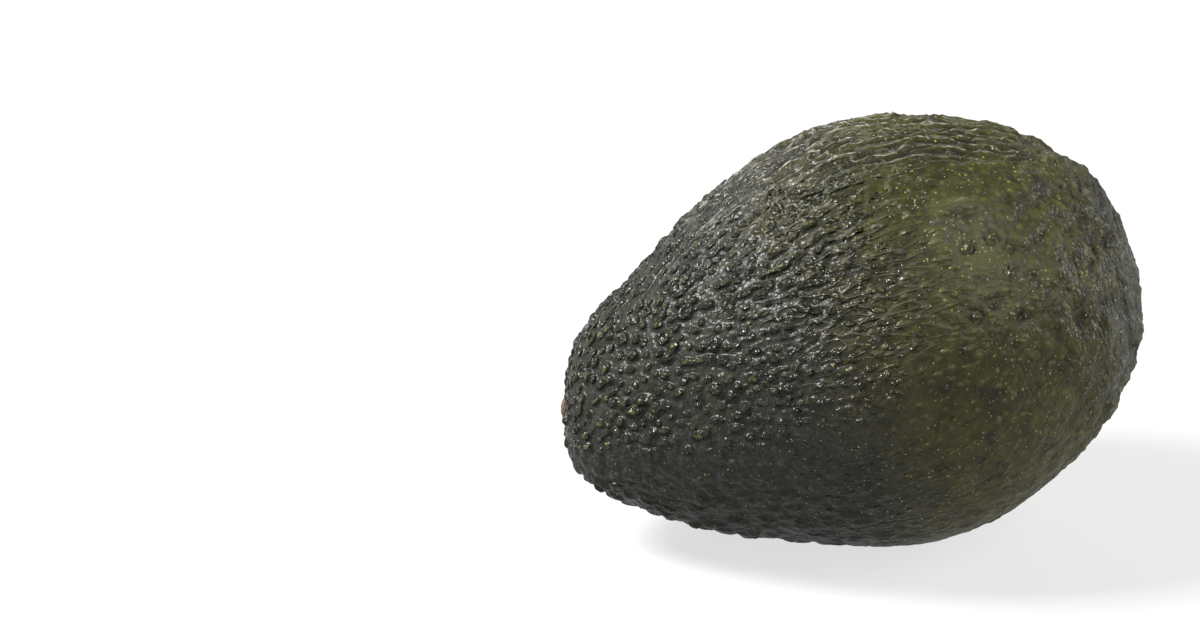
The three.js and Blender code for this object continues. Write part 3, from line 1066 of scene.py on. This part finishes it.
def build_button():
    """The woody button: a turned profile with lobes, cracks and a torn top."""
    radius, height = button_profile()
    angles = np.linspace(0, 2 * math.pi, BUTTON_STEPS, endpoint=False)
    radius, angle = np.meshgrid(radius, angles, indexing="ij")
    height = np.repeat(height[:, None], BUTTON_STEPS, axis=1)
    above = smoothstep(height, 0, BUTTON_RISE)
    fibre = noise_on_rings(51, 7, angle, height * 0.8)
    rough = noise_on_rings(52, radius * 1.6, angle, height * 1.6)
    lobes = LOBE_SHARE * np.cos(BUTTON_LOBES * angle) * above
    radius = radius * (1 + lobes - 0.04 * above + 0.035 * fibre * above)
    inner = smoothstep(-radius, -BUTTON_RADIUS * 0.8, -BUTTON_RADIUS * 0.4)
    height = height + above * (0.12 * rough + 0.16 * fibre * inner) - 0.12 * above
    local = np.stack([radius * np.cos(angle), height, radius * np.sin(angle)], -1)
    turn = Vector((0, 1, 0)).rotation_difference(Vector(STEM_NORMAL.tolist()))
    basin = STEM_PLACE + STEM_NORMAL * broad_relief(STEM_PLACE[None])[0]
    points = to_part_frame(local.reshape(-1, 3) @ np.array(turn.to_matrix()).T + basin)
    piece = smooth_piece("woody_button", points, ring_faces(BUTTON_RINGS, BUTTON_STEPS))
    store(piece.data, "torn", (inner * above).ravel())
    return piece


def wood_material():
    nodes = Nodes("dry_stem_wood")
    where = nodes.place()
    mottled = nodes.noise(where, 0.9, detail=5, roughness=0.65)
    fibres = nodes.noise(where, 0.25, detail=4, roughness=0.6)
    base = nodes.blend(nodes.ramp(mottled, 0.3, 0.7), WOOD_DARK, WOOD_BROWN)
    base = nodes.blend(nodes.times(nodes.attribute("torn"), 0.8), base, WOOD_TORN)
    base = nodes.paint_over(base, WOOD_CRACK, fibres, 0.45, 0.7, end=0.6)
    nodes.join(base, nodes.shader.inputs["Base Color"])
    nodes.shader.inputs["Roughness"].default_value = 0.8
    normal = nodes.bump(fibres, 0.12)
    normal = nodes.bump(mottled, 0.15, normal)
    nodes.join(normal, nodes.shader.inputs["Normal"])
    return nodes.material


# The studio. Each light has a name, azimuth and elevation in degrees, distance and size in metres, watts.
SOFTBOXES = (
    ("key_softbox", -84, 48, 1.2, (0.4, 0.4), 47),
    ("front_softbox", 58, 38, 1.6, (1.2, 1.2), 22),
    ("back_strip", -170, 30, 1.4, (1.6, 0.08), 7),
    ("right_card", 108, 10, 1.2, (0.2, 0.8), 11),
)
FLOOR_HALF = 4.0  # half of the floor's side, in metres
FLOOR_GREY = 0.14
FLOOR_GLOW = 0.7
WORLD_LIGHT = 0.12


def camera_axes():
    right = np.array([math.cos(CAMERA_TURN), -math.sin(CAMERA_TURN), 0.0])
    away = np.array([math.sin(CAMERA_TURN), math.cos(CAMERA_TURN), 0.0])
    return right, away


def add_camera():
    right, away = camera_axes()
    target = MIDDLE - AIM_LEFT * right + np.array([0, 0, AIM_ABOVE])
    flat = CAMERA_DISTANCE * math.cos(CAMERA_ELEVATION)
    rise = CAMERA_DISTANCE * math.sin(CAMERA_ELEVATION)
    place = target - flat * away + np.array([0, 0, rise])
    data = bpy.data.cameras.new("camera")
    data.sensor_width = SENSOR_WIDTH
    data.lens = SENSOR_WIDTH * PIXELS_PER_MM * CAMERA_DISTANCE / IMAGE_WIDTH
    data.clip_start = 0.01
    camera = bpy.data.objects.new("camera", data)
    camera.location = place * MM
    look = Vector((target - place).tolist())
    camera.rotation_euler = look.to_track_quat("-Z", "Y").to_euler()
    bpy.context.scene.collection.objects.link(camera)
    bpy.context.scene.camera = camera


def add_softbox(name, azimuth, elevation, distance, size, watts):
    """An area light over the fruit; azimuth 0 is behind the camera, and grows to its right."""
    right, away = camera_axes()
    turn = math.radians(azimuth)
    level = math.cos(math.radians(elevation))
    direction = level * (math.sin(turn) * right - math.cos(turn) * away)
    direction = direction + np.array([0, 0, math.sin(math.radians(elevation))])
    data = bpy.data.lights.new(name, "AREA")
    data.shape = "RECTANGLE"
    data.size, data.size_y = size
    data.energy = watts
    light = bpy.data.objects.new(name, data)
    centre = MIDDLE * MM
    light.location = centre + direction * distance
    light.rotation_euler = Vector((-direction).tolist()).to_track_quat("-Z", "Y").to_euler()
    bpy.context.scene.collection.objects.link(light)


def add_floor():
    corners = [(x * FLOOR_HALF, y * FLOOR_HALF, 0) for x, y in ((-1, -1), (1, -1), (1, 1), (-1, 1))]
    mesh = bpy.data.meshes.new("floor")
    mesh.from_pydata(corners, [], [(0, 1, 2, 3)])
    floor = bpy.data.objects.new("floor", mesh)
    bpy.context.scene.collection.objects.link(floor)
    nodes = Nodes("pale_floor")
    nodes.shader.inputs["Base Color"].default_value = colour((FLOOR_GREY, FLOOR_GREY, FLOOR_GREY))
    nodes.shader.inputs["Emission Color"].default_value = colour((1, 1, 1))
    nodes.shader.inputs["Emission Strength"].default_value = FLOOR_GLOW
    nodes.shader.inputs["Roughness"].default_value = 0.9
    nodes.shader.inputs["Specular IOR Level"].default_value = 0.1
    mesh.materials.append(nodes.material)


def add_world():
    world = bpy.data.worlds.new("studio")
    world.use_nodes = True
    background = world.node_tree.nodes["Background"]
    background.inputs["Color"].default_value = colour((1, 1, 1))
    background.inputs["Strength"].default_value = WORLD_LIGHT
    bpy.context.scene.world = world


skin = build_skin()
skin.data.materials.append(skin_material())
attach(skin, "root")
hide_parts("fruit")

button = build_button()
button.data.materials.append(wood_material())
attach(button, "root")
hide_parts("stem_button")

add_camera()
add_floor()
add_world()
for settings in SOFTBOXES:
    add_softbox(*settings)
bpy.context.scene.view_settings.view_transform = "Standard"
